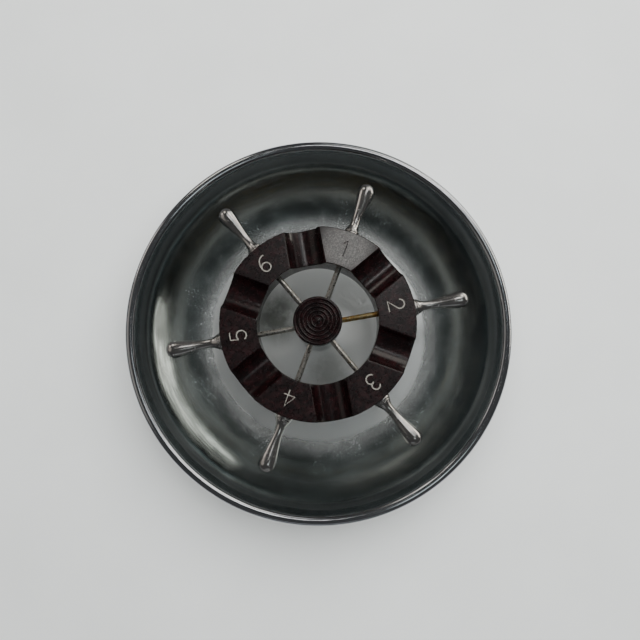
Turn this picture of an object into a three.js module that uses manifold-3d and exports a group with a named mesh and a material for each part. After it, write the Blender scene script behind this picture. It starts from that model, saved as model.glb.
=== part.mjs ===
// Ship's wheel ashtray: a spun metal bowl with a rolled rim, and above it a numbered wheel of cigarette
// rests that turns freely on a post. Millimetres, +Z up. The origin is on the bowl's axis, in the plane
// that the felt stands on. Handle 2 points along +X, and the numbers run clockwise seen from above.

import * as THREE from "three";
import { mergeVertices } from "three/addons/utils/BufferGeometryUtils.js";
import Module from "manifold-3d";

const wasm = await Module();
wasm.setup();

const radians = THREE.MathUtils.degToRad;

// ---------------------------------------------------------------- clearances

const FIT_GAP = 0.3; // round a pin, rod or spigot that is screwed or pressed into its neighbour
const SEAT_GAP = 0.1; // between flat faces that bear on each other
const RUNNING_GAP = 0.2; // between the turning hub and its fixed pivot
const GLUE_LINE = 0.2; // between the felt and the bowl
const CUT_OVERSHOOT = 2; // how far a cutting shape stands out of the face that it cuts
const MERGE_DISTANCE = 1e-4; // corners closer than this are one corner

// ---------------------------------------------------------------- bowl and felt

const RIM_RADIUS = 63.5; // a 5 inch bowl over its rolled rim
const RIM_HEIGHT = 26;
const SHEET = 0.8;
const BEAD_RADIUS = 1.55; // outside of the rolled rim's round section
const CURL_END = radians(-90); // the roll stops at its lowest point
const FLOOR_RADIUS = 38.2; // the crease between the flat floor and the wall
const WALL_START_SLOPE = radians(12); // the wall leaves the floor at this angle and ends upright
const BOSS_RISE = 2; // the floor's centre is pressed up to hide the screw head below
const BOSS_TOP_RADIUS = 4.6;
const BOSS_FOOT_RADIUS = 6.4;
const WALL_STEPS = 7;
const BEAD_STEPS = 9;

const FELT_THICKNESS = 2;
const FELT_RADIUS = 35;
const FELT_EDGE = 0.4;

// ---------------------------------------------------------------- post and its fixings

const POST_FOOT_RADIUS = 4.2;
const POST_FOOT_HEIGHT = 1.4;
const POST_SHAFT_RADIUS = 3.1;
const POST_COLLAR_RADIUS = 4.4;
const POST_COLLAR_HEIGHT = 2.2;
const POST_TAPER = 2.4; // height of the flare between the shaft and the foot or the collar
const POST_TOP = 25.2;

const SCREW_RADIUS = 1.5;
const SCREW_LENGTH_IN_POST = 6.5;
const SCREW_SLOT_WIDTH = 0.8;
const BASE_HEAD_RADIUS = 3;
const BASE_HEAD_HEIGHT = 1.3;
const BASE_WASHER_RADIUS = 3.5;
const WASHER_THICKNESS = 0.5;

const PIVOT_RADIUS = 1.9; // plain shoulder that the hub turns on
const PIVOT_HEAD_RADIUS = 3.6;
const PIVOT_HEAD_HEIGHT = 1.8;

// ---------------------------------------------------------------- wheel

const ARM_COUNT = 6; // spokes, handles, numbered segments and rests
const ARM_STEP = (2 * Math.PI) / ARM_COUNT;
const ARM_HEIGHT = 31; // height of the spokes' and handles' axes
const RING_OUTER_RADIUS = 30.8;
const RING_INNER_RADIUS = 19.1;
const RING_THICKNESS = 10;
const RING_EDGE = 0.35;
const REST_WIDTH = 11.2; // a channel, wide enough for an 8 mm cigarette
const REST_DEPTH = 4.4;

const SPOKE_RADIUS = 0.88;
const HUB_RADIUS = 6.5;
const HUB_EDGE = 0.5;
const HUB_HEIGHT = 9;
const HUB_SPIGOT_RADIUS = 5.2;
const HUB_SPIGOT_HEIGHT = 1.7;
const HUB_POCKET_RADIUS = 4.2; // counterbore that holds the pivot's head
const HUB_POCKET_DEPTH = 3.5;
const BUSH_WALL = 1;
const BUSH_FLANGE_RADIUS = 4.2;
const BUSH_FLANGE_HEIGHT = 0.8;

const CAP_RADIUS = 7.5;
const CAP_HEIGHT = 5;
const CAP_EDGE = 0.5;
const CAP_RIDGE_COUNT = 5;
const CAP_RIDGE_PITCH = 1.25;
const CAP_GROOVE_DEPTH = 0.45;
const CAP_FIRST_GROOVE = 1.3;
const CAP_PIP_RADIUS = 0.5;

const HANDLE_SOCKET_DEPTH = 2.8; // the spoke's end screws in this far

// A handle's outline, as distances from its base (AT) and the radii there.
const HANDLE_LENGTH = 17.8;
const HANDLE_BASE_RADIUS = 2.9;
const HANDLE_FLANGE_AT = 0.8;
const HANDLE_GROOVE_AT = 1.1;
const HANDLE_GROOVE_RADIUS = 2.3;
const HANDLE_BEAD_AT = 1.7;
const HANDLE_BEAD_RADIUS = 2.45;
const HANDLE_BELL_AT = 2.1;
const HANDLE_BELL_RADIUS = 2;
const HANDLE_THROAT_AT = 3.4;
const HANDLE_THROAT_RADIUS = 1.6;
const HANDLE_NECK_AT = 5.2;
const HANDLE_NECK_RADIUS = 1.45;
const HANDLE_SWELL_AT = 10.5;
const HANDLE_SWELL_RADIUS = 2;
const HANDLE_GRIP_RADIUS = 2.5; // of the round end, the thickest place
const HANDLE_END_START = radians(-12); // where the round end's arc takes over from the swelling
const HANDLE_END_STEPS = 5;

// ---------------------------------------------------------------- sides of the round pieces

const BOWL_SIDES = 64;
const RING_SIDES = 72;
const CHANNEL_SIDES = 36;
const HUB_SIDES = 36;
const POST_SIDES = 28;
const SCREW_SIDES = 20;
const HANDLE_SIDES = 12;
const SPOKE_SIDES = 10;

// ---------------------------------------------------------------- heights that follow from the above

const FLOOR_TOP = FELT_THICKNESS + GLUE_LINE + SHEET;
const BOSS_TOP = FLOOR_TOP + BOSS_RISE;
const BOSS_UNDERSIDE = BOSS_TOP - SHEET;
const POST_BOTTOM = BOSS_TOP + SEAT_GAP;
const RING_TOP = ARM_HEIGHT + RING_THICKNESS / 2;
const RING_BOTTOM = ARM_HEIGHT - RING_THICKNESS / 2;
const THRUST_WASHER_BOTTOM = POST_TOP + SEAT_GAP;
const BUSH_BOTTOM = THRUST_WASHER_BOTTOM + WASHER_THICKNESS + RUNNING_GAP;
const HUB_BOTTOM = BUSH_BOTTOM + BUSH_FLANGE_HEIGHT + SEAT_GAP;
const HUB_TOP = HUB_BOTTOM + HUB_HEIGHT;
const SPIGOT_TOP = HUB_TOP + HUB_SPIGOT_HEIGHT;
const POCKET_FLOOR = SPIGOT_TOP - HUB_POCKET_DEPTH;
const PIVOT_WASHER_BOTTOM = POCKET_FLOOR + RUNNING_GAP;
const PIVOT_HEAD_BOTTOM = PIVOT_WASHER_BOTTOM + WASHER_THICKNESS + SEAT_GAP;
const CAP_BOTTOM = HUB_TOP + SEAT_GAP;
const SCREW_HOLE_RADIUS = SCREW_RADIUS + FIT_GAP;
const BUSH_BORE_RADIUS = PIVOT_RADIUS + RUNNING_GAP;
const BUSH_RADIUS = BUSH_BORE_RADIUS + BUSH_WALL;
const SPOKE_HOLE_RADIUS = SPOKE_RADIUS + FIT_GAP;
const SPOKE_START = BUSH_RADIUS + 2 * FIT_GAP;
const HANDLE_START = RING_OUTER_RADIUS + FIT_GAP;
const SPOKE_END = HANDLE_START + HANDLE_SOCKET_DEPTH - FIT_GAP;

// ---------------------------------------------------------------- materials

function material(color, roughness, metalness) {
  return () => new THREE.MeshStandardMaterial({ color, roughness, metalness });
}

const chrome = material(0x8b9190, 0.22, 1);
const wornNickel = material(0xb9b2a8, 0.3, 1);
const steel = material(0x9a9a98, 0.4, 1);
const brass = material(0xb08d4c, 0.35, 1);
const bakelite = material(0x24171a, 0.35, 0);
const felt = material(0x1f3a2c, 0.95, 0);

// ---------------------------------------------------------------- solids

// A closed solid from a geometry: shared corners are merged, and collapsed triangles dropped.
function solid(geometry) {
  const bare = geometry.clone();
  bare.deleteAttribute("normal");
  bare.deleteAttribute("uv");
  const merged = mergeVertices(bare, MERGE_DISTANCE);
  const corners = merged.index.array;
  const kept = [];
  for (let i = 0; i < corners.length; i += 3) {
    const [a, b, c] = [corners[i], corners[i + 1], corners[i + 2]];
    if (a !== b && b !== c && c !== a) kept.push(a, b, c);
  }
  return new wasm.Manifold(new wasm.Mesh({
    numProp: 3,
    vertProperties: new Float32Array(merged.attributes.position.array),
    triVerts: new Uint32Array(kept),
  }));
}

function geometryOf(manifold) {
  const mesh = manifold.getMesh();
  const geometry = new THREE.BufferGeometry();
  geometry.setAttribute("position", new THREE.BufferAttribute(mesh.vertProperties, 3));
  geometry.setIndex(new THREE.BufferAttribute(mesh.triVerts, 1));
  geometry.computeVertexNormals();
  return geometry;
}

// A solid turned about +Z from [radius, height] points, listed up its outside and down its inside.
function turned(points, sides) {
  const onAxis = points[0][0] === 0 && points.at(-1)[0] === 0;
  const outline = onAxis ? points : [...points, points[0]];
  const profile = outline.map(([radius, height]) => new THREE.Vector2(radius, height));
  return solid(new THREE.LatheGeometry(profile, sides).rotateX(Math.PI / 2));
}

// A washer, tube or disc with square edges. It is a disc where innerRadius is 0.
function turnedRing(innerRadius, outerRadius, bottom, top, sides) {
  const corners = [[innerRadius, bottom], [outerRadius, bottom], [outerRadius, top], [innerRadius, top]];
  return turned(corners, sides);
}

// A round rod along +X at the arms' height.
function radialRod(radius, start, end) {
  const rod = new THREE.CylinderGeometry(radius, radius, end - start, SPOKE_SIDES);
  return solid(rod.rotateZ(-Math.PI / 2).translate((start + end) / 2, 0, ARM_HEIGHT));
}

// A bar across a screw head's face that cuts a slot half as deep as the head is thick.
function screwSlot(headRadius, headHeight, face) {
  const length = 2 * (headRadius + CUT_OVERSHOOT);
  return solid(new THREE.BoxGeometry(length, SCREW_SLOT_WIDTH, headHeight).translate(0, 0, face));
}

// Points on an arc, first and last included. Angles are measured from the +radius direction.
function arc(centre, radius, from, to, steps) {
  const points = [];
  for (let i = 0; i <= steps; i++) {
    const angle = THREE.MathUtils.lerp(from, to, i / steps);
    points.push([centre[0] + radius * Math.cos(angle), centre[1] + radius * Math.sin(angle)]);
  }
  return points;
}

// The closed outline of a sheet whose upper skin is the path, with the lower skin one thickness to its
// right. Inner corners of the path are mitred.
function sheetOutline(path, thickness) {
  const direction = (from, to) => new THREE.Vector2(to[0] - from[0], to[1] - from[1]).normalize();
  const lower = path.map((point, i) => {
    const before = direction(path[Math.max(i - 1, 0)], path[Math.max(i, 1)]);
    const after = direction(path[Math.min(i, path.length - 2)], path[Math.min(i + 1, path.length - 1)]);
    const along = before.clone().add(after).normalize();
    const reach = thickness / along.dot(before);
    return [point[0] + along.y * reach, point[1] - along.x * reach];
  });
  return [...lower, ...path.toReversed()];
}

// ---------------------------------------------------------------- the bowl and what is fixed to it

// The wall is part of an ellipse that leaves the floor at the given slope and is upright at the rim.
function wallPath() {
  const end = [RIM_RADIUS - 2 * BEAD_RADIUS, RIM_HEIGHT - BEAD_RADIUS];
  const reach = end[0] - FLOOR_RADIUS;
  const rise = end[1] - FLOOR_TOP;
  const slopeShare = (Math.tan(WALL_START_SLOPE) * reach) / rise;
  const startAngle = Math.asin(slopeShare / (1 - slopeShare));
  const semiAcross = reach / (1 - Math.sin(startAngle));
  const semiUp = rise / Math.cos(startAngle);
  const points = [];
  for (let i = 0; i < WALL_STEPS; i++) {
    const angle = THREE.MathUtils.lerp(startAngle, Math.PI / 2, i / WALL_STEPS);
    points.push([end[0] - semiAcross * (1 - Math.sin(angle)), end[1] - semiUp * Math.cos(angle)]);
  }
  return points;
}

function bowl() {
  const beadCentre = [RIM_RADIUS - BEAD_RADIUS, RIM_HEIGHT - BEAD_RADIUS];
  const skin = [
    [SCREW_HOLE_RADIUS, BOSS_TOP],
    [BOSS_TOP_RADIUS, BOSS_TOP],
    [BOSS_FOOT_RADIUS, FLOOR_TOP],
    ...wallPath(),
    ...arc(beadCentre, BEAD_RADIUS, Math.PI, CURL_END, BEAD_STEPS),
  ];
  return turned(sheetOutline(skin, SHEET), BOWL_SIDES);
}

function baseFelt() {
  return turned([
    [0, 0],
    [FELT_RADIUS, 0],
    [FELT_RADIUS, FELT_THICKNESS - FELT_EDGE],
    [FELT_RADIUS - FELT_EDGE, FELT_THICKNESS],
    [0, FELT_THICKNESS],
  ], BOWL_SIDES);
}

// A turned column with a foot and a collar, drilled at both ends.
function post() {
  const footTop = POST_BOTTOM + POST_FOOT_HEIGHT;
  const collarBottom = POST_TOP - POST_COLLAR_HEIGHT;
  const column = turned([
    [0, POST_BOTTOM],
    [POST_FOOT_RADIUS, POST_BOTTOM],
    [POST_FOOT_RADIUS, footTop],
    [POST_SHAFT_RADIUS, footTop + POST_TAPER],
    [POST_SHAFT_RADIUS, collarBottom - POST_TAPER],
    [POST_COLLAR_RADIUS, collarBottom],
    [POST_COLLAR_RADIUS, POST_TOP],
    [0, POST_TOP],
  ], POST_SIDES);
  const depth = SCREW_LENGTH_IN_POST + FIT_GAP;
  const below = POST_BOTTOM - CUT_OVERSHOOT;
  const above = POST_TOP + CUT_OVERSHOOT;
  const lowerHole = turnedRing(0, SCREW_HOLE_RADIUS, below, POST_BOTTOM + depth, SCREW_SIDES);
  const upperHole = turnedRing(0, SCREW_HOLE_RADIUS, POST_TOP - depth, above, SCREW_SIDES);
  return column.subtract(lowerHole).subtract(upperHole);
}

function baseWasher() {
  const top = BOSS_UNDERSIDE - SEAT_GAP;
  return turnedRing(SCREW_HOLE_RADIUS, BASE_WASHER_RADIUS, top - WASHER_THICKNESS, top, SCREW_SIDES);
}

// The slotted screw that comes up through the bowl's boss into the post.
function baseScrew() {
  const headTop = BOSS_UNDERSIDE - WASHER_THICKNESS - 2 * SEAT_GAP;
  const headBottom = headTop - BASE_HEAD_HEIGHT;
  const body = turned([
    [0, headBottom],
    [BASE_HEAD_RADIUS, headBottom],
    [BASE_HEAD_RADIUS, headTop],
    [SCREW_RADIUS, headTop],
    [SCREW_RADIUS, POST_BOTTOM + SCREW_LENGTH_IN_POST],
    [0, POST_BOTTOM + SCREW_LENGTH_IN_POST],
  ], SCREW_SIDES);
  return body.subtract(screwSlot(BASE_HEAD_RADIUS, BASE_HEAD_HEIGHT, headBottom));
}

// The shoulder screw that the hub turns on: thread in the post, plain shoulder, slotted head.
function pivotScrew() {
  const headTop = PIVOT_HEAD_BOTTOM + PIVOT_HEAD_HEIGHT;
  const body = turned([
    [0, POST_TOP - SCREW_LENGTH_IN_POST],
    [SCREW_RADIUS, POST_TOP - SCREW_LENGTH_IN_POST],
    [SCREW_RADIUS, POST_TOP + SEAT_GAP],
    [PIVOT_RADIUS, POST_TOP + SEAT_GAP],
    [PIVOT_RADIUS, PIVOT_HEAD_BOTTOM],
    [PIVOT_HEAD_RADIUS, PIVOT_HEAD_BOTTOM],
    [PIVOT_HEAD_RADIUS, headTop],
    [0, headTop],
  ], SCREW_SIDES);
  return body.subtract(screwSlot(PIVOT_HEAD_RADIUS, PIVOT_HEAD_HEIGHT, headTop));
}

function pivotWasher(radius, bottom) {
  return turnedRing(PIVOT_RADIUS + FIT_GAP, radius, bottom, bottom + WASHER_THICKNESS, SCREW_SIDES);
}

// ---------------------------------------------------------------- the wheel

// Rounded channels cut across a solid ring, one midway between each two arms, and a radial hole under
// each numbered segment.
function wheelRing() {
  const [inner, outer, low, high] = [RING_INNER_RADIUS, RING_OUTER_RADIUS, RING_BOTTOM, RING_TOP];
  let ring = turned([
    [inner, low + RING_EDGE],
    [inner + RING_EDGE, low],
    [outer - RING_EDGE, low],
    [outer, low + RING_EDGE],
    [outer, high - RING_EDGE],
    [outer - RING_EDGE, high],
    [inner + RING_EDGE, high],
    [inner, high - RING_EDGE],
  ], RING_SIDES);
  const halfWidth = REST_WIDTH / 2;
  const channelRadius = (halfWidth ** 2 + REST_DEPTH ** 2) / (2 * REST_DEPTH);
  const start = inner - CUT_OVERSHOOT;
  const end = outer + CUT_OVERSHOOT;
  const channel = new THREE.CylinderGeometry(channelRadius, channelRadius, end - start, CHANNEL_SIDES);
  channel.rotateZ(Math.PI / 2);
  channel.translate((start + end) / 2, 0, high - REST_DEPTH + channelRadius);
  const hole = radialRod(SPOKE_HOLE_RADIUS, start, end);
  for (let arm = 0; arm < ARM_COUNT; arm++) {
    const midway = (arm + 0.5) * ARM_STEP;
    ring = ring.subtract(solid(channel.clone().rotateZ(midway)));
    ring = ring.subtract(hole.rotate([0, 0, (arm * 360) / ARM_COUNT]));
  }
  return ring;
}

function hubCore() {
  let core = turned([
    [BUSH_RADIUS + FIT_GAP, HUB_BOTTOM],
    [HUB_RADIUS - HUB_EDGE, HUB_BOTTOM],
    [HUB_RADIUS, HUB_BOTTOM + HUB_EDGE],
    [HUB_RADIUS, HUB_TOP],
    [HUB_SPIGOT_RADIUS, HUB_TOP],
    [HUB_SPIGOT_RADIUS, SPIGOT_TOP],
    [HUB_POCKET_RADIUS, SPIGOT_TOP],
    [HUB_POCKET_RADIUS, POCKET_FLOOR],
    [BUSH_RADIUS + FIT_GAP, POCKET_FLOOR],
  ], HUB_SIDES);
  const hole = radialRod(SPOKE_HOLE_RADIUS, BUSH_RADIUS, HUB_RADIUS + CUT_OVERSHOOT);
  for (let arm = 0; arm < ARM_COUNT; arm++) {
    core = core.subtract(hole.rotate([0, 0, (arm * 360) / ARM_COUNT]));
  }
  return core;
}

function hubBush() {
  return turned([
    [BUSH_BORE_RADIUS, BUSH_BOTTOM],
    [BUSH_FLANGE_RADIUS, BUSH_BOTTOM],
    [BUSH_FLANGE_RADIUS, BUSH_BOTTOM + BUSH_FLANGE_HEIGHT],
    [BUSH_RADIUS, BUSH_BOTTOM + BUSH_FLANGE_HEIGHT],
    [BUSH_RADIUS, POCKET_FLOOR - SEAT_GAP],
    [BUSH_BORE_RADIUS, POCKET_FLOOR - SEAT_GAP],
  ], POST_SIDES);
}

// A button-like cap whose top has concentric grooves round a small pip, pressed on the hub's spigot.
function hubCap() {
  const top = CAP_BOTTOM + CAP_HEIGHT;
  const grooveFloor = top - CAP_GROOVE_DEPTH;
  const recessTop = SPIGOT_TOP + FIT_GAP;
  const recessRadius = HUB_SPIGOT_RADIUS + FIT_GAP;
  const grooves = [];
  for (let ridge = 0; ridge < CAP_RIDGE_COUNT; ridge++) {
    const groove = CAP_FIRST_GROOVE + ridge * CAP_RIDGE_PITCH;
    grooves.unshift([groove + CAP_RIDGE_PITCH / 2, top], [groove, grooveFloor]);
  }
  return turned([
    [0, recessTop],
    [recessRadius, recessTop],
    [recessRadius, CAP_BOTTOM],
    [CAP_RADIUS - CAP_EDGE, CAP_BOTTOM],
    [CAP_RADIUS, CAP_BOTTOM + CAP_EDGE],
    [CAP_RADIUS, top - CAP_EDGE],
    ...grooves,
    [CAP_PIP_RADIUS, top],
    [0, top],
  ], HUB_SIDES);
}

function spoke() {
  return radialRod(SPOKE_RADIUS, SPOKE_START, SPOKE_END);
}

// A turned handle: a flared base with two beads, a slim neck, and a long swelling to a round end.
function handle() {
  const socketRadius = SPOKE_HOLE_RADIUS;
  const endCentre = [0, HANDLE_LENGTH - HANDLE_GRIP_RADIUS];
  const roundEnd = arc(endCentre, HANDLE_GRIP_RADIUS, HANDLE_END_START, Math.PI / 2, HANDLE_END_STEPS);
  const along = turned([
    [0, HANDLE_SOCKET_DEPTH],
    [socketRadius, HANDLE_SOCKET_DEPTH],
    [socketRadius, 0],
    [HANDLE_BASE_RADIUS, 0],
    [HANDLE_BASE_RADIUS, HANDLE_FLANGE_AT],
    [HANDLE_GROOVE_RADIUS, HANDLE_GROOVE_AT],
    [HANDLE_BEAD_RADIUS, HANDLE_BEAD_AT],
    [HANDLE_BELL_RADIUS, HANDLE_BELL_AT],
    [HANDLE_THROAT_RADIUS, HANDLE_THROAT_AT],
    [HANDLE_NECK_RADIUS, HANDLE_NECK_AT],
    [HANDLE_SWELL_RADIUS, HANDLE_SWELL_AT],
    ...roundEnd.slice(0, -1),
    [0, HANDLE_LENGTH],
  ], HANDLE_SIDES);
  return along.rotate([0, 90, 0]).translate([HANDLE_START, 0, ARM_HEIGHT]);
}

// ---------------------------------------------------------------- assembly

const ashtray = new THREE.Group();
const wheel = new THREE.Group();
ashtray.add(wheel);

function place(parent, name, manifold, finish, turn = 0) {
  const mesh = new THREE.Mesh(geometryOf(manifold), finish());
  mesh.name = name;
  mesh.rotation.z = turn;
  parent.add(mesh);
}

place(ashtray, "bowl", bowl(), chrome);
place(ashtray, "base_felt", baseFelt(), felt);
place(ashtray, "post", post(), wornNickel);
place(ashtray, "base_washer", baseWasher(), steel);
place(ashtray, "base_screw", baseScrew(), steel);
place(ashtray, "thrust_washer", pivotWasher(POST_COLLAR_RADIUS, THRUST_WASHER_BOTTOM), brass);
place(ashtray, "pivot_washer", pivotWasher(PIVOT_HEAD_RADIUS, PIVOT_WASHER_BOTTOM), steel);
place(ashtray, "pivot_screw", pivotScrew(), steel);

place(wheel, "wheel_ring", wheelRing(), bakelite);
place(wheel, "hub_core", hubCore(), wornNickel);
place(wheel, "hub_bush", hubBush(), brass);
place(wheel, "hub_cap", hubCap(), bakelite);

// Segment 2 is at +X, and each higher number is one step clockwise, so 1 is one step the other way.
for (let number = 1; number <= ARM_COUNT; number++) {
  const turn = (2 - number) * ARM_STEP;
  place(wheel, `spoke_${number}`, spoke(), wornNickel, turn);
  place(wheel, `handle_${number}`, handle(), wornNickel, turn);
}

export default ashtray;
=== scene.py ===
import math

import bmesh
import bpy
import numpy as np
from mathutils import Matrix, Vector


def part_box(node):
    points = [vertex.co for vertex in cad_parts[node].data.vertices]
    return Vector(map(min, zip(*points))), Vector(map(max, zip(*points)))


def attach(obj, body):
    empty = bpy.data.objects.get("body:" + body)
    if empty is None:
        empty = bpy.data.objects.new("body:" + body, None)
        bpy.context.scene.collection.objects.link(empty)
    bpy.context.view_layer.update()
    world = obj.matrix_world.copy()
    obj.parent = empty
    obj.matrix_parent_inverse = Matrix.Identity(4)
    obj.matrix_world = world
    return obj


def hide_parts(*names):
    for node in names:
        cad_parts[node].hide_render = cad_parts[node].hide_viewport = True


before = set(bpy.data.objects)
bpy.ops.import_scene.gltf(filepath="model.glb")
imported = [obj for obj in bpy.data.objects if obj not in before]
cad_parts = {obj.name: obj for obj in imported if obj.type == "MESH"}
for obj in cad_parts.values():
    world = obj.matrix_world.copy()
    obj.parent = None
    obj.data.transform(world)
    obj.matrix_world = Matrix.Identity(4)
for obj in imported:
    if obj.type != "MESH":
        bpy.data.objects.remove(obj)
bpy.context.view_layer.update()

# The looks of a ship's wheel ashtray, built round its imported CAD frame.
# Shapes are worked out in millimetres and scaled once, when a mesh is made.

MM = 0.001
TAU = 2 * math.pi


def box_mm(node):
    """A CAD node's lowest and highest corners in millimetres."""
    low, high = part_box(node)
    return low / MM, high / MM


BOWL_LOW, BOWL_HIGH = box_mm("bowl")
RING_LOW, RING_HIGH = box_mm("wheel_ring")
RIM_RADIUS = BOWL_HIGH.x
RIM_HEIGHT = BOWL_HIGH.z
RING_OUTER = RING_HIGH.x
ARM_COUNT = 6
ARM_STEP = TAU / ARM_COUNT
ARM_HEIGHT = (RING_LOW.z + RING_HIGH.z) / 2
SHEET = 0.8  # the bowl's thickness
BEAD_RADIUS = 1.55  # of the rolled rim
FLOOR_RADIUS = 38.2
FLOOR_TOP = BOWL_LOW.z + SHEET

# ------------------------------------------------------------------ camera

PICTURE_TURN = math.radians(-10)  # the picture's rightward direction, about +Z from +X
CAMERA_DISTANCE = 201.7
CAMERA_TILT = math.radians(6.6)  # off the bowl's axis, towards the bottom of the picture
CAMERA_SIDE = math.radians(4.7)  # the tilt leans this far towards the picture's right
CAMERA_LENS = 34.7
AIM_RIGHT = 0.6  # the point aimed at, from the centre of the rim
AIM_UP = 2.03

PICTURE_RIGHT = Vector((math.cos(PICTURE_TURN), math.sin(PICTURE_TURN), 0))
PICTURE_UP = Vector((-math.sin(PICTURE_TURN), math.cos(PICTURE_TURN), 0))


def look(position, target, up):
    """The matrix of a camera or light at position that looks at target."""
    back = (position - target).normalized()
    right = up.cross(back).normalized()
    axes = Matrix((right, back.cross(right), back)).transposed().to_4x4()
    return Matrix.Translation(position) @ axes


def add_camera():
    """Looks down into the bowl, a little off its axis."""
    rim_centre = Vector((0, 0, RIM_HEIGHT))
    sideways = PICTURE_RIGHT * math.sin(CAMERA_SIDE) - PICTURE_UP * math.cos(CAMERA_SIDE)
    lean = Vector((0, 0, math.cos(CAMERA_TILT))) + sideways * math.sin(CAMERA_TILT)
    position = rim_centre + lean * CAMERA_DISTANCE
    target = rim_centre + PICTURE_RIGHT * AIM_RIGHT + PICTURE_UP * AIM_UP
    data = bpy.data.cameras.new("camera")
    data.lens = CAMERA_LENS
    data.clip_start = 0.01
    camera = bpy.data.objects.new("camera", data)
    camera.matrix_world = look(position * MM, target * MM, PICTURE_UP)
    bpy.context.collection.objects.link(camera)
    bpy.context.scene.camera = camera


add_camera()

# ------------------------------------------------------------------ meshes


def add_object(name, mesh):
    """Puts a mesh or curve in the scene."""
    piece = bpy.data.objects.new(name, mesh)
    bpy.context.collection.objects.link(piece)
    return piece


def new_mesh(name, points, faces):
    """A smooth-shaded mesh from points in millimetres, with its faces turned outwards."""
    mesh = bpy.data.meshes.new(name)
    mesh.from_pydata((np.array(points, float) * MM).tolist(), [], faces)
    build = bmesh.new()
    build.from_mesh(mesh)
    bmesh.ops.recalc_face_normals(build, faces=build.faces)
    build.to_mesh(mesh)
    build.free()
    mesh.polygons.foreach_set("use_smooth", [True] * len(mesh.polygons))
    return mesh


def baked(piece):
    """Replaces a piece's mesh by the result of its modifiers."""
    bpy.context.view_layer.update()
    evaluated = piece.evaluated_get(bpy.context.evaluated_depsgraph_get())
    mesh = bpy.data.meshes.new_from_object(evaluated)
    piece.modifiers.clear()
    piece.data = mesh
    return piece


def arc(centre, radius, start, end, steps):
    """Points on an arc, both ends included. Angles are in degrees from the +radius direction."""
    angles = np.radians(np.linspace(start, end, steps + 1))
    return [(centre[0] + radius * math.cos(a), centre[1] + radius * math.sin(a)) for a in angles]


def rounded(corners, steps=5):
    """An outline through (radius, height) corners, where a third number is the corner's fillet radius.
    The first and last corners stay sharp."""
    outline = [corners[0][:2]]
    for before, corner, after in zip(corners, corners[1:], corners[2:]):
        fillet = corner[2] if len(corner) > 2 else 0
        point = Vector(corner[:2])
        if not fillet:
            outline.append(tuple(point))
            continue
        towards_before = (Vector(before[:2]) - point).normalized()
        towards_after = (Vector(after[:2]) - point).normalized()
        half = towards_before.angle(towards_after) / 2
        centre = point + (towards_before + towards_after).normalized() * fillet / math.sin(half)
        start = point + towards_before * fillet / math.tan(half) - centre
        end = point + towards_after * fillet / math.tan(half) - centre
        turn = start.angle_signed(end)
        for i in range(steps + 1):
            radius_line = start.copy()
            radius_line.rotate(Matrix.Rotation(-turn * i / steps, 2))
            outline.append(tuple(centre + radius_line))
    outline.append(corners[-1][:2])
    return outline


def curve_through(keys, steps):
    """A Catmull-Rom curve through the key points, with the same number of steps between each two."""
    points = [Vector(key) for key in keys]
    points = [2 * points[0] - points[1], *points, 2 * points[-1] - points[-2]]
    result = []
    for a, b, c, d in zip(points, points[1:], points[2:], points[3:]):
        for i in range(steps):
            t = i / steps
            smooth = 2 * b + (c - a) * t + (2 * a - 5 * b + 4 * c - d) * t**2
            result.append(tuple((smooth + (3 * b - a - 3 * c + d) * t**3) / 2))
    return [*result, tuple(keys[-1])]


ON_AXIS = 1e-6  # radii below this count as 0


def lathe(name, outline, sides):
    """A solid turned about +Z from a (radius, height) outline that runs from axis to axis, or, where it
    stays off the axis, closes on itself."""
    points, rings, faces = [], [], []
    for radius, height in outline:
        if radius < ON_AXIS:
            rings.append([len(points)] * sides)
            points.append((0, 0, height))
            continue
        rings.append(list(range(len(points), len(points) + sides)))
        for i in range(sides):
            angle = TAU * i / sides
            points.append((radius * math.cos(angle), radius * math.sin(angle), height))
    closed = outline[0][0] > ON_AXIS
    for lower, upper in zip(rings, rings[1:] + rings[:1] if closed else rings[1:]):
        for i in range(sides):
            j = (i + 1) % sides
            corners = [lower[i], lower[j], upper[j], upper[i]]
            faces.append(list(dict.fromkeys(corners)))
    return add_object(name, new_mesh(name, points, faces))


def flat_faces_stay_flat(piece):
    """Keeps smooth shading from bending the light on broad flat faces beside small fillets."""
    modifier = piece.modifiers.new("weighted_normals", "WEIGHTED_NORMAL")
    modifier.keep_sharp = True


# ------------------------------------------------------------------ materials


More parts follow.
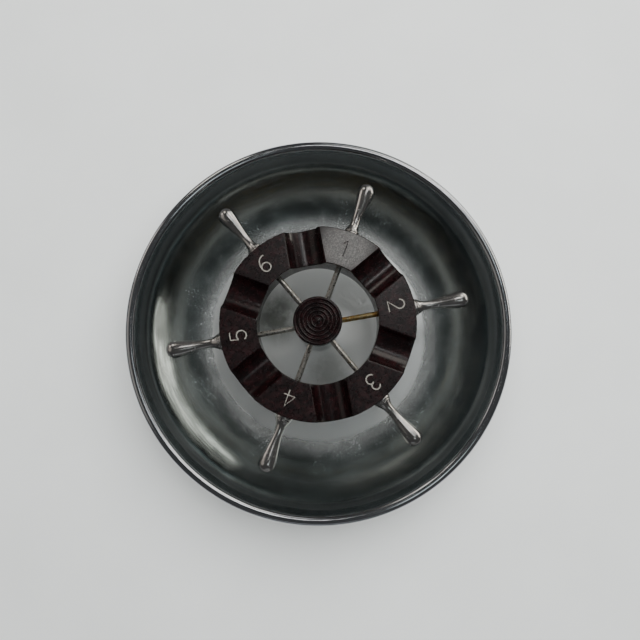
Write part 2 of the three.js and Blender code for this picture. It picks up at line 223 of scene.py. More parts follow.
class Finish:
    """Builds one procedural material. Its lengths are in millimetres of the object's own space."""

    def __init__(self, name, metallic, ior=1.5):
        self.material = bpy.data.materials.new(name)
        self.material.use_nodes = True
        self.tree = self.material.node_tree
        self.shader = self.tree.nodes["Principled BSDF"]
        self.shader.inputs["Metallic"].default_value = metallic
        self.shader.inputs["IOR"].default_value = ior
        coordinates = self.tree.nodes.new("ShaderNodeTexCoord")
        self.place = self.vector_math("SCALE", coordinates.outputs["Object"], scale=1 / MM)
        self.bumps = None

    def node(self, kind, values=None, **settings):
        """A new node with its settings, and its inputs set or linked."""
        made = self.tree.nodes.new(kind)
        for key, value in settings.items():
            setattr(made, key, value)
        for key, value in (values or {}).items():
            self.feed(made.inputs[key], value)
        return made

    def feed(self, socket, value):
        """Links another node's output to a socket, or sets the socket to a constant."""
        if isinstance(value, bpy.types.NodeSocket):
            self.tree.links.new(value, socket)
        else:
            socket.default_value = value

    def vector_math(self, operation, a, b=None, scale=None):
        """A vector worked out from one or two others."""
        made = self.node("ShaderNodeVectorMath", {0: a}, operation=operation)
        if b is not None:
            self.feed(made.inputs[1], b)
        if scale is not None:
            self.feed(made.inputs["Scale"], scale)
        return made.outputs[0]

    def math(self, operation, a, b=0.0):
        """A number worked out from one or two others."""
        return self.node("ShaderNodeMath", {0: a, 1: b}, operation=operation).outputs[0]

    def axis(self, name):
        """The x, y or z coordinate."""
        return self.node("ShaderNodeSeparateXYZ", {0: self.place}).outputs[name]

    def from_axis(self):
        """Distance from the object's Z axis."""
        flat = self.vector_math("MULTIPLY", self.place, (1, 1, 0))
        made = self.node("ShaderNodeVectorMath", {0: flat}, operation="LENGTH")
        return made.outputs["Value"]

    def distance_to(self, point):
        """Distance from a point in millimetres."""
        made = self.node("ShaderNodeVectorMath", {0: self.place, 1: point}, operation="DISTANCE")
        return made.outputs["Value"]

    def noise(self, scale, detail=4.0, roughness=0.55, stretch=(1, 1, 1), distortion=0.0):
        """Noise from 0 to 1. Scale is in features per millimetre."""
        place = self.vector_math("MULTIPLY", self.place, stretch)
        values = {"Vector": place, "Scale": scale, "Detail": detail, "Roughness": roughness,
                  "Distortion": distortion}
        return self.node("ShaderNodeTexNoise", values).outputs[0]

    def spun_noise(self, across, along, detail=4.0, roughness=0.55):
        """Noise drawn out along circles round the object's Z axis, as a spinning tool leaves it."""
        flat = self.vector_math("MULTIPLY", self.place, (1, 1, 0))
        around = self.vector_math("SCALE", self.vector_math("NORMALIZE", flat), scale=along)
        outwards = self.math("MULTIPLY", self.from_axis(), across)
        rise = self.node("ShaderNodeCombineXYZ", {"Z": outwards}).outputs[0]
        place = self.vector_math("ADD", around, rise)
        values = {"Vector": place, "Scale": 1.0, "Detail": detail, "Roughness": roughness}
        return self.node("ShaderNodeTexNoise", values).outputs[0]

    def ramp(self, value, low, high, start=0.0, end=1.0):
        """Maps value from low..high to start..end, smoothly and clamped."""
        values = {"Value": value, 1: low, 2: high, 3: start, 4: end}
        return self.node("ShaderNodeMapRange", values, interpolation_type="SMOOTHSTEP").outputs[0]

    def mix(self, share, a, b):
        """A colour between a and b."""
        made = self.node("ShaderNodeMix", data_type="RGBA")
        self.feed(made.inputs[0], share)
        for socket, value in ((made.inputs[6], a), (made.inputs[7], b)):
            self.feed(socket, (*value, 1) if isinstance(value, tuple) else value)
        return made.outputs[2]

    def rings(self, spacing, jitter):
        """Concentric turning marks round the object's Z axis, from -1 to 1."""
        wander = self.math("MULTIPLY", self.noise(0.15, 2), jitter)
        phase = self.math("ADD", self.math("MULTIPLY", self.from_axis(), TAU / spacing), wander)
        return self.math("SINE", phase)

    def blend(self, share, a, b):
        """A number between a and b."""
        made = self.node("ShaderNodeMix", {0: share, 2: a, 3: b}, data_type="FLOAT")
        return made.outputs[0]

    def color(self, value):
        """Sets the surface's colour."""
        self.feed(self.shader.inputs["Base Color"], value)

    def roughness(self, value):
        """Sets how much the surface blurs its reflections."""
        self.feed(self.shader.inputs["Roughness"], value)

    def bump(self, height, depth):
        """Adds relief. Depth is in millimetres for a height of 1."""
        values = {"Strength": 1.0, "Distance": depth * MM, "Height": height}
        made = self.node("ShaderNodeBump", values)
        if self.bumps:
            self.feed(made.inputs["Normal"], self.bumps)
        self.bumps = made.outputs[0]
        self.feed(self.shader.inputs["Normal"], self.bumps)


PAINTED_SHADOW_PLACE = (-13.5, 8.5, FLOOR_TOP)  # painted shadow patches on the bowl's floor
PAINTED_SHADOW_REACH = 14
SECOND_SHADOW_PLACE = (1.5, -14, FLOOR_TOP)
SECOND_SHADOW_REACH = 12


def bowl_zones(finish):
    """How far each point belongs to the floor, the band round it that is painted bright as a highlight, the
    upper wall, the band under the rim that is painted dark as shade, and the rim, each from 0 to 1."""
    radius = finish.from_axis()
    return {
        "floor": finish.ramp(radius, FLOOR_RADIUS - 1.5, FLOOR_RADIUS + 2, 1, 0),
        "painted_halo": finish.ramp(radius, FLOOR_RADIUS + 1.5, FLOOR_RADIUS + 8, 1, 0),
        "upper": finish.ramp(radius, FLOOR_RADIUS + 10, FLOOR_RADIUS + 17),
        "under_rim": finish.ramp(radius, RIM_RADIUS - 6.6, RIM_RADIUS - 4.4),
        "rim": finish.ramp(radius, RIM_RADIUS - 3.4, RIM_RADIUS - 2.6),
    }


def bowl_color(finish, zones, clouds, drawn):
    """The metal's colour in each zone with a painted highlight band round the floor, then what has dulled
    and stained it, a painted shade band under the rim and painted shadows on the floor.
    """
    wall = finish.mix(clouds, (0.34, 0.395, 0.395), (0.48, 0.54, 0.54))
    upper = finish.mix(clouds, (0.32, 0.36, 0.36), (0.42, 0.46, 0.46))
    # A near-white band round the floor is a painted highlight.
    lower = finish.mix(zones["painted_halo"], wall, (0.80, 0.81, 0.80))
    metal = finish.mix(zones["rim"], finish.mix(zones["upper"], lower, upper), (0.80, 0.81, 0.85))
    tool_marks = finish.blend(zones["floor"], finish.math("MULTIPLY", drawn, 0.3), 0.0)
    dulled = finish.mix(tool_marks, metal, (0.25, 0.27, 0.27))
    # The band under the rim is painted dark, as painted shade.
    inside_rim = finish.math("SUBTRACT", 1.0, zones["rim"])
    shade = finish.math("MULTIPLY", finish.math("MULTIPLY", zones["under_rim"], 0.75), inside_rim)
    shaded = finish.mix(shade, dulled, (0.1, 0.11, 0.12))
    # Two patches on the floor are painted dark as shadows and broken up by noise.
    shadow_patch = finish.ramp(finish.distance_to(PAINTED_SHADOW_PLACE), PAINTED_SHADOW_REACH * 0.2, PAINTED_SHADOW_REACH, 0.85, 0)
    second_shadow_patch = finish.ramp(finish.distance_to(SECOND_SHADOW_PLACE), SECOND_SHADOW_REACH * 0.2, SECOND_SHADOW_REACH, 0.5, 0)
    patchy = finish.ramp(finish.noise(0.22, 6, 0.65), 0.3, 0.6, 0.6, 1)
    on_floor = finish.math("MULTIPLY", patchy, zones["floor"])
    painted_shadow = finish.math("MULTIPLY", finish.math("MAXIMUM", shadow_patch, second_shadow_patch), on_floor)
    stains = finish.ramp(finish.noise(0.5, 7, 0.72), 0.64, 0.8, 0, 0.5)
    finish.color(finish.mix(stains, finish.mix(painted_shadow, shaded, (0.13, 0.14, 0.12)), (0.20, 0.17, 0.13)))


def bowl_chrome():
    """Tarnished chrome on spun metal: cloudy on the floor, smoother up the wall, bright on the rim."""
    finish = Finish("bowl_chrome", 1)
    zones = bowl_zones(finish)
    clouds = finish.ramp(finish.noise(0.045, 4, 0.55), 0.3, 0.7)
    drawn = finish.ramp(finish.spun_noise(0.55, 3.0, 6, 0.65), 0.35, 0.7)
    bowl_color(finish, zones, clouds, drawn)
    film = finish.blend(zones["painted_halo"], finish.ramp(clouds, 0, 1, 0.97, 0.93), 0.86)
    clear = finish.math("MAXIMUM", zones["upper"], zones["rim"])
    finish.feed(finish.shader.inputs["Metallic"], finish.blend(clear, film, 1.0))
    smudges = finish.ramp(finish.noise(0.09, 5, 0.6), 0.4, 0.66, 0.19, 0.26)
    cloudy = finish.ramp(finish.noise(0.13, 6, 0.7), 0.35, 0.7, 0.33, 0.42)
    smooth = finish.ramp(drawn, 0, 1, 0.12, 0.18)
    rough = finish.blend(zones["floor"], finish.blend(zones["upper"], smudges, smooth), cloudy)
    finish.roughness(finish.math("ADD", rough, finish.ramp(finish.noise(2.2, 3), 0.6, 0.72, 0, 0.06)))
    finish.bump(finish.noise(0.045, 2), 0.3)
    finish.bump(finish.rings(0.7, 5.0), 0.0006)
    finish.bump(finish.ramp(finish.noise(3.0, 2, 0.5), 0.78, 0.84), 0.002)
    return finish.material


# Segment 1's top gets light specks that are partly dust and partly a painted highlight.
GLARE_DUST_RADIUS = 25.5
GLARE_DUST_ANGLE = ARM_STEP  # segment 1
GLARE_DUST_PLACE = (GLARE_DUST_RADIUS * math.cos(GLARE_DUST_ANGLE), GLARE_DUST_RADIUS * math.sin(GLARE_DUST_ANGLE), RING_HIGH.z)
GLARE_DUST_REACH = 11.5


def bakelite():
    """Aged dark brown phenolic: maroon mottling, a satin top with fine relief, light specks on segment 1
    that are dust and a painted highlight, glossier rests.
    """
    finish = Finish("bakelite", 0, ior=1.62)
    mottle = finish.ramp(finish.noise(0.35, 6, 0.7, distortion=1.2), 0.42, 0.68)
    streak = finish.ramp(finish.noise(0.9, 4, 0.6, stretch=(1, 1, 0.4)), 0.58, 0.75, 0, 0.25)
    dark = finish.mix(mottle, (0.0035, 0.0017, 0.0018), (0.014, 0.0035, 0.004))
    aged = finish.mix(streak, dark, (0.018, 0.0055, 0.0055))
    normal = finish.node("ShaderNodeNewGeometry").outputs["Normal"]
    upward = finish.node("ShaderNodeSeparateXYZ", {0: normal}).outputs["Z"]
    at_top = finish.ramp(finish.axis("Z"), RING_HIGH.z - 0.6, RING_HIGH.z - 0.2)
    on_top = finish.math("MULTIPLY", finish.ramp(upward, 0.985, 0.998), at_top)
    # Light specks on segment 1's top: dust, and a painted highlight where the glare falls.
    glare_dust_area = finish.ramp(finish.distance_to(GLARE_DUST_PLACE), GLARE_DUST_REACH * 0.35, GLARE_DUST_REACH, 1, 0)
    specks = finish.ramp(finish.noise(2.6, 5, 0.75), 0.38, 0.72, 0.25, 1)
    dust_and_glare = finish.math("MULTIPLY", finish.math("MULTIPLY", glare_dust_area, on_top), specks)
    finish.color(finish.mix(finish.math("MULTIPLY", dust_and_glare, 0.75), aged, (0.24, 0.222, 0.21)))
    satin = finish.ramp(on_top, 0, 1, 0.2, 0.3)
    rub = finish.ramp(finish.noise(1.1, 6, 0.7), 0.4, 0.7, -0.04, 0.1)
    worn = finish.math("MULTIPLY", dust_and_glare, 0.15)
    finish.roughness(finish.math("ADD", finish.math("ADD", satin, rub), worn))
    finish.bump(finish.ramp(finish.noise(4.5, 3, 0.6), 0.64, 0.74), 0.012)
    finish.bump(finish.noise(2.2, 5, 0.65), 0.014)
    finish.bump(finish.noise(0.25, 3), 0.05)
    return finish.material


def worn_nickel():
    """Old nickel plate on turned brass, dulled in the hollows and finely pitted."""
    finish = Finish("worn_nickel", 1)
    patches = finish.ramp(finish.noise(0.4, 5, 0.6), 0.35, 0.7)
    metal = finish.mix(patches, (0.74, 0.71, 0.69), (0.86, 0.83, 0.81))
    stain = finish.ramp(finish.noise(1.3, 5, 0.7), 0.64, 0.8, 0, 0.4)
    finish.color(finish.mix(stain, metal, (0.36, 0.31, 0.29)))
    finish.roughness(finish.ramp(finish.noise(1.0, 5, 0.6), 0.3, 0.75, 0.2, 0.28))
    finish.bump(finish.ramp(finish.noise(5.0, 3), 0.7, 0.8), 0.002)
    finish.bump(finish.noise(0.5, 2), 0.002)
    return finish.material


def spoke_plating(name, wear):
    """Nickel plate on a brass rod. Wear is the share of it that is rubbed through to brass."""
    finish = Finish(name, 1)
    patches = finish.noise(0.42, 5, 0.65)
    rubbed = finish.ramp(patches, 0.72 - 0.5 * wear, 0.86 - 0.5 * wear)
    cleaner = finish.ramp(finish.noise(1.1, 4), 0.4, 0.7)
    nickel = finish.mix(cleaner, (0.52, 0.49, 0.45), (0.74, 0.71, 0.66))
    redder = finish.ramp(finish.noise(0.8, 4), 0.45, 0.65)
    brass = finish.mix(redder, (0.66, 0.52, 0.27), (0.55, 0.29, 0.08))
    finish.color(finish.mix(rubbed, nickel, brass))
    finish.roughness(finish.ramp(finish.noise(1.3, 6, 0.7), 0.3, 0.75, 0.22, 0.5))
    finish.bump(finish.ramp(finish.noise(5.0, 3), 0.55, 0.75), 0.012)
    return finish.material


def turned_metal(name, dark, bright):
    """Plain turned metal with tool marks, for the pieces inside and under the hub."""
    finish = Finish(name, 1)
    finish.color(finish.mix(finish.ramp(finish.noise(0.7, 5, 0.65), 0.35, 0.65), dark, bright))
    finish.roughness(finish.ramp(finish.noise(1.5, 5), 0.3, 0.7, 0.28, 0.48))
    finish.bump(finish.rings(0.16, 3.0), 0.004)
    finish.bump(finish.noise(3.0, 4), 0.01)
    return finish.material


def numeral_paint():
    """Off-white filler in the cut numerals, a little worn and dirty."""
    finish = Finish("numeral_paint", 0)
    dirt = finish.ramp(finish.noise(2.4, 6, 0.7), 0.42, 0.72)
    finish.color(finish.mix(dirt, (0.25, 0.23, 0.20), (0.11, 0.10, 0.085)))
    finish.roughness(finish.ramp(finish.noise(4.0, 4), 0.3, 0.7, 0.55, 0.8))
    finish.bump(finish.noise(6.0, 4), 0.03)
    return finish.material


def base_felt():
    """Pressed wool felt, with short fibres lying every way."""
    finish = Finish("base_felt", 0)
    finish.shader.inputs["Sheen Weight"].default_value = 0.4
    finish.shader.inputs["Sheen Roughness"].default_value = 0.6
    fibres = finish.noise(3.5, 8, 0.75, distortion=2.0)
    soiled = finish.ramp(finish.noise(0.08, 4, 0.6), 0.4, 0.7, 0, 0.5)
    wool = finish.mix(finish.ramp(fibres, 0.3, 0.7), (0.012, 0.030, 0.020), (0.045, 0.085, 0.055))
    finish.color(finish.mix(soiled, wool, (0.040, 0.045, 0.030)))
    finish.roughness(finish.ramp(fibres, 0.3, 0.7, 0.85, 1.0))
    finish.bump(fibres, 0.25)
    return finish.material


MATERIALS = {
    "bowl_chrome": bowl_chrome(),
    "bakelite": bakelite(),
    "worn_nickel": worn_nickel(),
    "steel": turned_metal("steel", (0.32, 0.32, 0.32), (0.52, 0.52, 0.51)),
    "brass": turned_metal("brass", (0.46, 0.30, 0.12), (0.66, 0.47, 0.20)),
    "felt": base_felt(),
    "numeral_paint": numeral_paint(),
}


def install(piece, node, body, slot, material=None):
    """Puts a finished piece in place of a CAD node."""
    piece.data.materials.clear()
    piece.data.materials.append(material or MATERIALS[slot])
    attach(piece, body)
    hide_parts(node)


# ------------------------------------------------------------------ bowl and felt

# The wall's slope in degrees at shares of its width.
WALL_SLOPES = ((0, 12), (0.35, 30), (0.66, 47), (0.86, 50.5), (0.94, 64), (1, 88))
WALL_STEPS = 56
BOSS_RISE = 2.0
BOSS_TOP_RADIUS = 4.6
BOSS_FOOT_RADIUS = 6.4
SCREW_HOLE_RADIUS = 1.8
FLOOR_RINGS = (12, 20, 28, 34)  # extra edge loops that keep the floor's faces short
CREASE_FILLET = 4.4
BOWL_SIDES = 288


def wall_points():
    """The wall steepens from the floor outwards, holds its slope for a while, and turns upright at the rim.
    Its points are evenly spaced along it."""
    end_radius = RIM_RADIUS - 2 * BEAD_RADIUS
    end_height = RIM_HEIGHT - BEAD_RADIUS
    shares = np.linspace(0, 1, 40 * WALL_STEPS + 1)
    slopes = np.radians(np.interp(shares, *zip(*WALL_SLOPES)))
    spread = len(shares) // 12
    window = np.ones(2 * spread + 1) / (2 * spread + 1)
    slopes = np.convolve(np.pad(slopes, spread, mode="edge"), window, "valid")
    rises = np.cumsum(np.tan(slopes))
    rises = (rises - rises[0]) / (rises[-1] - rises[0])
    lengths = np.cumsum(np.hypot(np.gradient(shares), np.gradient(rises)))
    even = np.linspace(lengths[0], lengths[-1], WALL_STEPS + 1)
    places = np.rint(np.interp(even, lengths, np.arange(len(shares)))).astype(int)
    radii = FLOOR_RADIUS + (end_radius - FLOOR_RADIUS) * shares[places]
    heights = FLOOR_TOP + (end_height - FLOOR_TOP) * rises[places]
    return list(zip(radii.tolist(), heights.tolist()))


def offset_path(path, distance):
    """The path moved sideways, to its right, by a distance."""
    points = np.array(path)
    steps = np.diff(points, axis=0)
    steps /= np.linalg.norm(steps, axis=1)[:, None]
    before = np.vstack([steps[:1], steps])
    after = np.vstack([steps, steps[-1:]])
    along = before + after
    along /= np.linalg.norm(along, axis=1)[:, None]
    reach = distance / (along * before).sum(axis=1)
    sideways = np.stack([along[:, 1], -along[:, 0]], axis=1)
    return [tuple(point) for point in points + sideways * reach[:, None]]


def add_bowl():
    """One sheet from the screw hole in the floor to the rolled rim."""
    bead_centre = (RIM_RADIUS - BEAD_RADIUS, RIM_HEIGHT - BEAD_RADIUS)
    wall = wall_points()
    base = rounded([
        (SCREW_HOLE_RADIUS, FLOOR_TOP + BOSS_RISE),
        (BOSS_TOP_RADIUS, FLOOR_TOP + BOSS_RISE, 0.9),
        (BOSS_FOOT_RADIUS, FLOOR_TOP, 1.2),
        (FLOOR_RADIUS, FLOOR_TOP, CREASE_FILLET),
        wall[4],
    ], 8)
    boss = [point for point in base if point[0] < FLOOR_RINGS[0]]
    floor = [(radius, FLOOR_TOP) for radius in FLOOR_RINGS]
    crease = [point for point in base if point[0] > FLOOR_RINGS[0]]
    bead = arc(bead_centre, BEAD_RADIUS, 180, -90, 44)
    skin = [*boss, *floor, *crease, *wall[5:-1], *bead]
    lower = offset_path(skin, SHEET)
    bowl = lathe("spun_bowl", [*lower, *reversed(skin)], BOWL_SIDES)
    install(bowl, "bowl", "base", "bowl_chrome")


def add_felt():
    """The disc glued under the bowl."""
    low, high = box_mm("base_felt")
    outline = rounded([
        (0, low.z),
        (high.x, low.z, 0.25),
        (high.x, high.z, 0.7),
        (0, high.z),
    ], 4)
    felt = lathe("felt_disc", outline, 160)
    install(felt, "base_felt", "base", "felt")


# ------------------------------------------------------------------ post and hub


def add_post():
    """The turned column under the wheel, with a flared foot and collar."""
    low, high = box_mm("post")
    foot, shaft, collar = 4.2, 3.1, high.x
    outline = rounded([
        (0, low.z),
        (foot, low.z, 0.15),
        (foot, low.z + 1.4, 0.5),
        (shaft, low.z + 3.8, 2.0),
        (shaft, high.z - 4.6, 2.0),
        (collar, high.z - 2.2, 0.5),
        (collar, high.z, 0.3),
        (0, high.z),
    ])
    post = lathe("turned_post", outline, 72)
    flat_faces_stay_flat(post)
    install(post, "post", "base", "worn_nickel")


def add_hub():
    """The metal hub, bored for its bush and with a spigot for the cap."""
    low, high = box_mm("hub_core")
    radius, spigot, pocket, bore = high.x, 5.2, 4.2, 3.4
    top = high.z - 1.7
    floor = high.z - 3.5
    outline = rounded([
        (bore, low.z + 1),
        (bore, low.z),
        (radius, low.z, 0.6),
        (radius, top, 0.4),
        (spigot, top),
        (spigot, high.z, 0.2),
        (pocket, high.z, 0.2),
        (pocket, floor),
        (bore, floor),
        (bore, low.z + 2),
    ])
    hub = lathe("hub", outline, 96)
    flat_faces_stay_flat(hub)
    install(hub, "hub_core", "wheel", "worn_nickel")


def add_hub_cap():
    """A hollow cap with round ridges and a pip in the middle."""
    low, high = box_mm("hub_cap")
    radius, recess = high.x, 5.5
    recess_top = low.z + 1.9
    pip, first_groove, pitch, depth, ridges = 0.62, 1.3, 1.25, 0.45, 5
    crown = []
    outer_crest = first_groove + (ridges - 0.5) * pitch
    for at in np.linspace(outer_crest, first_groove - 0.3 * pitch, 14 * ridges):
        share = 0.5 + 0.5 * math.cos(TAU * (at - first_groove) / pitch)
        crown.append((at, high.z - depth * share**1.3))
    skirt = rounded([
        (0, recess_top),
        (recess, recess_top),
        (recess, low.z),
        (radius, low.z, 0.35),
        (radius, high.z - 0.1, 0.4),
        crown[0],
    ])
    pip_rise = 0.42
    quarter = np.linspace(0, math.pi / 2, 9)
    dome = [(pip * math.cos(a), high.z - pip_rise * (1 - math.sin(a))) for a in quarter]
    cap = lathe("ridged_hub_cap", [*skirt[:-1], *crown, *dome[:-1], (0, high.z)], 120)
    install(cap, "hub_cap", "wheel", "bakelite")


# ------------------------------------------------------------------ numbered ring

RING_INNER = 19.1
REST_HALF_WIDTH = 5.6
REST_DEPTH = 4.4
REST_RADIUS = (REST_HALF_WIDTH**2 + REST_DEPTH**2) / (2 * REST_DEPTH)
REST_STEPS = 22
SEGMENT_STEPS = 20
NUMERAL_RADIUS = 25.1
NUMERAL_HEIGHT = 5.1
STROKE_RADIUS = 0.23
GROOVE_DEPTH = 0.2
FILL_TOP = -0.05  # the filler's face lies a little below the ring's top
UNPAINTED = 1  # the filler has worn out of this numeral
# How far each numeral sits from the middle of its segment, anticlockwise.
NUMERAL_SHIFTS = {1: 0.0, 2: 1.3, 3: 1.2, 4: -0.3, 5: -0.2, 6: 1.1}


def ring_lines():
    """The ring's lines from inside to outside, in order round it. Each is its top height and a function
    that gives its angle at a radius. A rest's lines run parallel to its axis, so its edges are straight."""
    top = RING_HIGH.z
    widest = math.asin(REST_HALF_WIDTH / REST_RADIUS)
    lines = []

    def across_rest(axis, offset):
        return lambda radius: axis + math.asin(offset / radius)

    def across_segment(axis, share):
        def angle(radius):
            edge = math.asin(REST_HALF_WIDTH / radius)
            return axis + edge + (ARM_STEP - 2 * edge) * share
        return angle

    for arm in range(ARM_COUNT):
        axis = (arm + 0.5) * ARM_STEP
        for i in range(REST_STEPS + 1):
            swing = widest * (2 * i / REST_STEPS - 1)
            height = top - REST_DEPTH + REST_RADIUS * (1 - math.cos(swing))
            lines.append((height, across_rest(axis, REST_RADIUS * math.sin(swing))))
        for i in range(1, SEGMENT_STEPS):
            lines.append((top, across_segment(axis, i / SEGMENT_STEPS)))
    return lines


def ring_body():
    """The ring with its six rests and its edges rounded over."""
    low = RING_LOW.z
    points, faces = [], []
    lines = ring_lines()
    for top, angle_at in lines:
        section = [(radius, low) for radius in np.linspace(RING_INNER, RING_OUTER, 6)[:-1]]
        section += [(RING_OUTER, z) for z in np.linspace(low, top, 4)[:-1]]
        section += [(radius, top) for radius in np.linspace(RING_OUTER, RING_INNER, 8)[:-1]]
        section += [(RING_INNER, z) for z in np.linspace(top, low, 4)[:-1]]
        for radius, z in section:
            angle = angle_at(radius)
            points.append((radius * math.cos(angle), radius * math.sin(angle), z))
    size = len(points) // len(lines)
    for line in range(len(lines)):
        following = (line + 1) % len(lines)
        for i in range(size):
            j = (i + 1) % size
            faces.append([line * size + i, line * size + j, following * size + j, following * size + i])
    ring = add_object("numbered_ring", new_mesh("numbered_ring", points, faces))
    bevel = ring.modifiers.new("rounded_edges", "BEVEL")
    bevel.width = 0.28 * MM
    bevel.segments = 3
    bevel.limit_method = "ANGLE"
    bevel.angle_limit = math.radians(35)
    return baked(ring)


def oval(centre, across, up, start, end, steps=20):
    """Points on an upright ellipse. Angles are in degrees, and rise anticlockwise."""
    angles = np.radians(np.linspace(start, end, steps + 1))
    return [(centre[0] + across * math.cos(a), centre[1] + up * math.sin(a)) for a in angles]


# Each numeral as the strokes of an engraving tool, in a box 1 high centred on 0.
NUMERALS = {
    1: [[(-0.15, 0.30), (0.04, 0.5), (0.04, -0.5)]],
    2: [[*oval((0, 0.22), 0.28, 0.28, 168, -38), (-0.30, -0.5), (0.32, -0.5)]],
    3: [[*oval((0, 0.25), 0.25, 0.25, 150, -72), (0.0, 0.01)],
        [(0.0, 0.01), *oval((0, -0.22), 0.29, 0.28, 72, -150)]],
    4: [[(0.12, -0.5), (0.12, 0.5), (-0.32, -0.2), (0.34, -0.2)]],
    5: [[(0.25, 0.5), (-0.19, 0.5), (-0.24, 0.03), *oval((0, -0.2), 0.3, 0.3, 128, -142)]],
    6: [[*oval((0.22, -0.2), 0.5, 0.68, 80, 180), *oval((0, -0.22), 0.28, 0.28, 180, 540, 32)]],
}


def numeral_tool(number):
    """One solid of a numeral's strokes, round in section, with its middle at the ring's top face."""
    curve = bpy.data.curves.new("strokes", "CURVE")
    curve.dimensions = "3D"
    curve.bevel_depth = STROKE_RADIUS
    curve.bevel_resolution = 3
    curve.use_fill_caps = True
    for stroke in NUMERALS[number]:
        spline = curve.splines.new("POLY")
        spline.points.add(len(stroke) - 1)
        for point, (x, y) in zip(spline.points, stroke):
            point.co = (x * NUMERAL_HEIGHT, y * NUMERAL_HEIGHT, 0, 1)
    tool = add_object("strokes", curve)
    bpy.context.view_layer.update()
    evaluated = tool.evaluated_get(bpy.context.evaluated_depsgraph_get())
    build = bmesh.new()
    build.from_mesh(evaluated.to_mesh())
    bpy.data.objects.remove(tool, do_unlink=True)
    for stroke in NUMERALS[number]:
        for x, y in (stroke[0], stroke[-1]):
            end = Matrix.Translation((x * NUMERAL_HEIGHT, y * NUMERAL_HEIGHT, 0))
            bmesh.ops.create_icosphere(build, subdivisions=3, radius=STROKE_RADIUS, matrix=end)
    mesh = bpy.data.meshes.new("numeral_tool")
    build.to_mesh(mesh)
    build.free()
    solid = add_object("numeral_tool", mesh)
    remesh = solid.modifiers.new("one_skin", "REMESH")
    remesh.mode = "VOXEL"
    remesh.voxel_size = 0.07
    return baked(solid)


def numeral_place(number):
    """Turns a numeral's own plane on to its segment, with its top outwards."""
    angle = (2 - number) * ARM_STEP + NUMERAL_SHIFTS[number] / NUMERAL_RADIUS
    turn = Matrix.Rotation(angle - math.pi / 2, 4, "Z")
    out = Vector((math.cos(angle), math.sin(angle), 0)) * NUMERAL_RADIUS
    return Matrix.Scale(MM, 4) @ Matrix.Translation(out + Vector((0, 0, RING_HIGH.z))) @ turn


def settle(strokes, number, top):
    """Flattens a numeral's strokes to the groove's depth, cuts them off at a height above the ring's
    top, and puts them on their segment."""
    mesh = strokes.data
    points = np.empty(len(mesh.vertices) * 3)
    mesh.vertices.foreach_get("co", points)
    points = points.reshape(-1, 3)
    points[:, 2] = np.minimum(points[:, 2] * GROOVE_DEPTH / STROKE_RADIUS, top)
    mesh.vertices.foreach_set("co", points.ravel())
    mesh.transform(numeral_place(number))


def add_ring():
    """The ring with its numerals cut in, and the filler in all but one of them."""
    ring = ring_body()
    for number in NUMERALS:
        tool = numeral_tool(number)
        fill = add_object(f"numeral_{number}", tool.data.copy())
        settle(tool, number, GROOVE_DEPTH)
        cut = ring.modifiers.new("cut", "BOOLEAN")
        cut.operation = "DIFFERENCE"
        cut.solver = "EXACT"
        cut.object = tool
        baked(ring)
        bpy.data.objects.remove(tool, do_unlink=True)
        if number == UNPAINTED:
            bpy.data.objects.remove(fill, do_unlink=True)
            continue
        settle(fill, number, FILL_TOP)
        fill.data.materials.append(MATERIALS["numeral_paint"])
        fill.data.polygons.foreach_set("use_smooth", [True] * len(fill.data.polygons))
        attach(fill, "wheel")
    flat_faces_stay_flat(ring)
    install(ring, "wheel_ring", "wheel", "bakelite")


# ------------------------------------------------------------------ spokes and handles


def arm_matrix(number, start):
    """Lays a piece turned about +Z along its arm, with its foot at a radius."""
    turn = Matrix.Rotation((2 - number) * ARM_STEP, 4, "Z")
    lay = Matrix.Rotation(math.pi / 2, 4, "Y")
    place = turn @ Matrix.Translation((start, 0, ARM_HEIGHT)) @ lay
    return Matrix.Scale(MM, 4) @ place @ Matrix.Scale(1 / MM, 4)


def handle_outline(length):
    """Flared base with two beads, slim neck, long swelling to a round end, as (radius, distance) points."""
    base, bead, neck, grip = 2.9, 2.62, 1.42, 2.78
    foot = rounded([(0, 0), (base, 0, 0.12), (base, 0.35, 0.1)], 3)[:-1]
    first_bead = arc((base - 0.3, 0.42), 0.3, -20, 60, 6)
    second_bead = arc((bead - 0.26, 1.15), 0.26, -70, 65, 7)
    bell = curve_through([
        (2.28, 1.5),
        (2.2, 1.75),
        (1.84, 2.45),
        (1.54, 3.4),
        (neck, 4.7),
        (1.48, 6.4),
        (1.78, 8.8),
        (2.2, 11.2),
        (2.58, 13.3),
        (grip, length - grip - 0.1),
    ], 5)
    end = arc((0, length - grip), grip, 4, 90, 14)
    return [*foot, *first_bead, *second_bead, *bell, *end[:-1], (0, length)]


# The share of each spoke's plating that is rubbed through to the brass.
SPOKE_WEAR = {1: 0.16, 2: 0.95, 3: 0.34, 4: 0.08, 5: 0.1, 6: 0.12}
SPOKE_RADIUS = 0.88
HANDLE_SEAT = 0.25  # how far a handle's foot stands inwards of its CAD node


def add_arms():
    """Six spokes and six handles, each lying along its arm."""
    handle_low, handle_high = box_mm("handle_2")
    handle_start = handle_low.x - HANDLE_SEAT
    handles = handle_outline(handle_high.x - handle_start)
    spoke_low, spoke_high = box_mm("spoke_2")
    length = spoke_high.x - spoke_low.x
    rod = rounded([(0, 0), (SPOKE_RADIUS, 0, 0.15), (SPOKE_RADIUS, length, 0.15), (0, length)], 3)
    for number, wear in SPOKE_WEAR.items():
        handle = lathe(f"turned_handle_{number}", handles, 56)
        handle.data.transform(arm_matrix(number, handle_start))
        install(handle, f"handle_{number}", "wheel", "worn_nickel")
        spoke = lathe(f"spoke_rod_{number}", rod, 28)
        spoke.data.transform(arm_matrix(number, spoke_low.x))
        plating = spoke_plating(f"spoke_plating_{number}", wear)
        install(spoke, f"spoke_{number}", "wheel", "spoke_nickel", plating)


add_bowl()
add_felt()
add_post()
add_hub()
add_hub_cap()
add_ring()
add_arms()

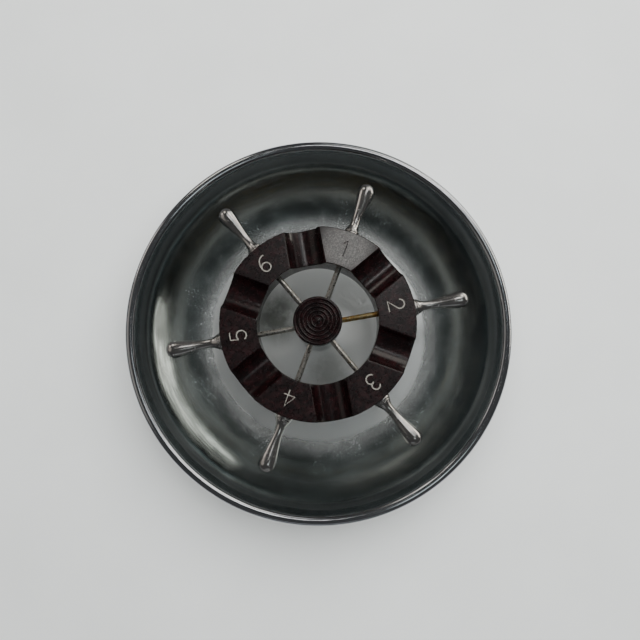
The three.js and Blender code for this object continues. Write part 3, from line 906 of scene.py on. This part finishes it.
for node, slot in {
    "base_washer": "steel",
    "base_screw": "steel",
    "thrust_washer": "brass",
    "pivot_washer": "steel",
    "pivot_screw": "steel",
    "hub_bush": "brass",
}.items():
    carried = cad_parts[node]
    carried.data.materials.clear()
    carried.data.materials.append(MATERIALS[slot])

# ------------------------------------------------------------------ studio


def add_floor():
    """A plain pale floor under the bowl, which isn't seen in reflections."""
    finish = Finish("pale_floor", 0)
    grain = finish.ramp(finish.noise(0.02, 3), 0.3, 0.7)
    finish.color(finish.mix(grain, (0.88, 0.88, 0.87), (0.92, 0.92, 0.91)))
    finish.roughness(0.8)
    half = 2500
    corners = [(-half, -half, 0), (half, -half, 0), (half, half, 0), (-half, half, 0)]
    floor = add_object("floor", new_mesh("floor", corners, [[0, 1, 2, 3]]))
    floor.data.materials.append(finish.material)
    floor.visible_glossy = False


LIGHT_DISTANCE = 600

# Each softbox as its direction in degrees anticlockwise from rightwards, its angle in degrees from straight
# overhead, its width and height in millimetres, its power in watts and its colour.
SOFTBOXES = {
    "key": (60, 60, 560, 560, 0.3, (1, 1, 0.96)),
    "key_core": (60, 48, 300, 300, 0.26, (1, 0.96, 0.86)),
    "back_left": (120, 60, 190, 190, 0.15, (1, 0.95, 0.86)),
    "left": (150, 72, 190, 190, 0.1, (1, 0.92, 0.84)),
    "warm_left": (180, 60, 500, 500, 0.15, (1, 0.94, 0.85)),
    "low_strip": (30, 82, 820, 80, 0.62, (1, 0.97, 0.86)),
    "low_glow": (25, 71, 600, 180, 0.16, (1, 0.98, 0.92)),
    "low_front": (270, 78, 500, 160, 0.04, (0.9, 0.97, 1)),
    "right": (315, 24, 170, 170, 0.07, (0.9, 1, 1)),
    "overhead": (45, 24, 170, 170, 0.06, (0.88, 0.98, 1)),
    "window": (75, 18, 120, 120, 0.1, (1, 0.99, 0.97)),
}
FILL = (60, 20, 900, 900, 8, (0.96, 1, 1))  # lights the floor and matt surfaces, and isn't mirrored


def add_softbox(name, across, off_axis, width, height, power, color, mirrored=True):
    """An oval area light that faces the wheel."""
    around = PICTURE_TURN + math.radians(across)
    lean = math.radians(off_axis)
    sideways = Vector((math.cos(around), math.sin(around), 0))
    direction = sideways * math.sin(lean) + Vector((0, 0, math.cos(lean)))
    data = bpy.data.lights.new(name, "AREA")
    data.shape = "ELLIPSE"
    data.size = width * MM
    data.size_y = height * MM
    data.energy = power
    data.color = color
    light = bpy.data.objects.new(name, data)
    centre = Vector((0, 0, RIM_HEIGHT))
    position = centre + direction * LIGHT_DISTANCE
    light.matrix_world = look(position * MM, centre * MM, Vector((0, 0, 1)))
    light.visible_glossy = mirrored
    bpy.context.collection.objects.link(light)


# Directions below the first height see the table and those above the second see the room.
TABLE_DIRECTION, ROOM_DIRECTION = -0.5, -0.2
TABLE_LIGHT, ROOM_LIGHT = 0.5, 0.045


def add_world():
    """A dim room. Polished surfaces see a pale table below them."""
    world = bpy.data.worlds.new("room")
    world.use_nodes = True
    tree = world.node_tree
    direction = tree.nodes.new("ShaderNodeTexCoord")
    split = tree.nodes.new("ShaderNodeSeparateXYZ")
    tree.links.new(direction.outputs["Generated"], split.inputs[0])
    brightness = tree.nodes.new("ShaderNodeMapRange")
    settings = (TABLE_DIRECTION, ROOM_DIRECTION, TABLE_LIGHT, ROOM_LIGHT)
    for socket, value in zip(brightness.inputs[1:], settings):
        socket.default_value = value
    tree.links.new(split.outputs["Z"], brightness.inputs["Value"])
    tree.links.new(brightness.outputs[0], tree.nodes["Background"].inputs["Strength"])
    tree.nodes["Background"].inputs["Color"].default_value = (0.97, 0.99, 1, 1)
    bpy.context.scene.world = world


add_floor()
add_world()
for name, softbox in SOFTBOXES.items():
    add_softbox(name, *softbox)
add_softbox("fill", *FILL, mirrored=False)
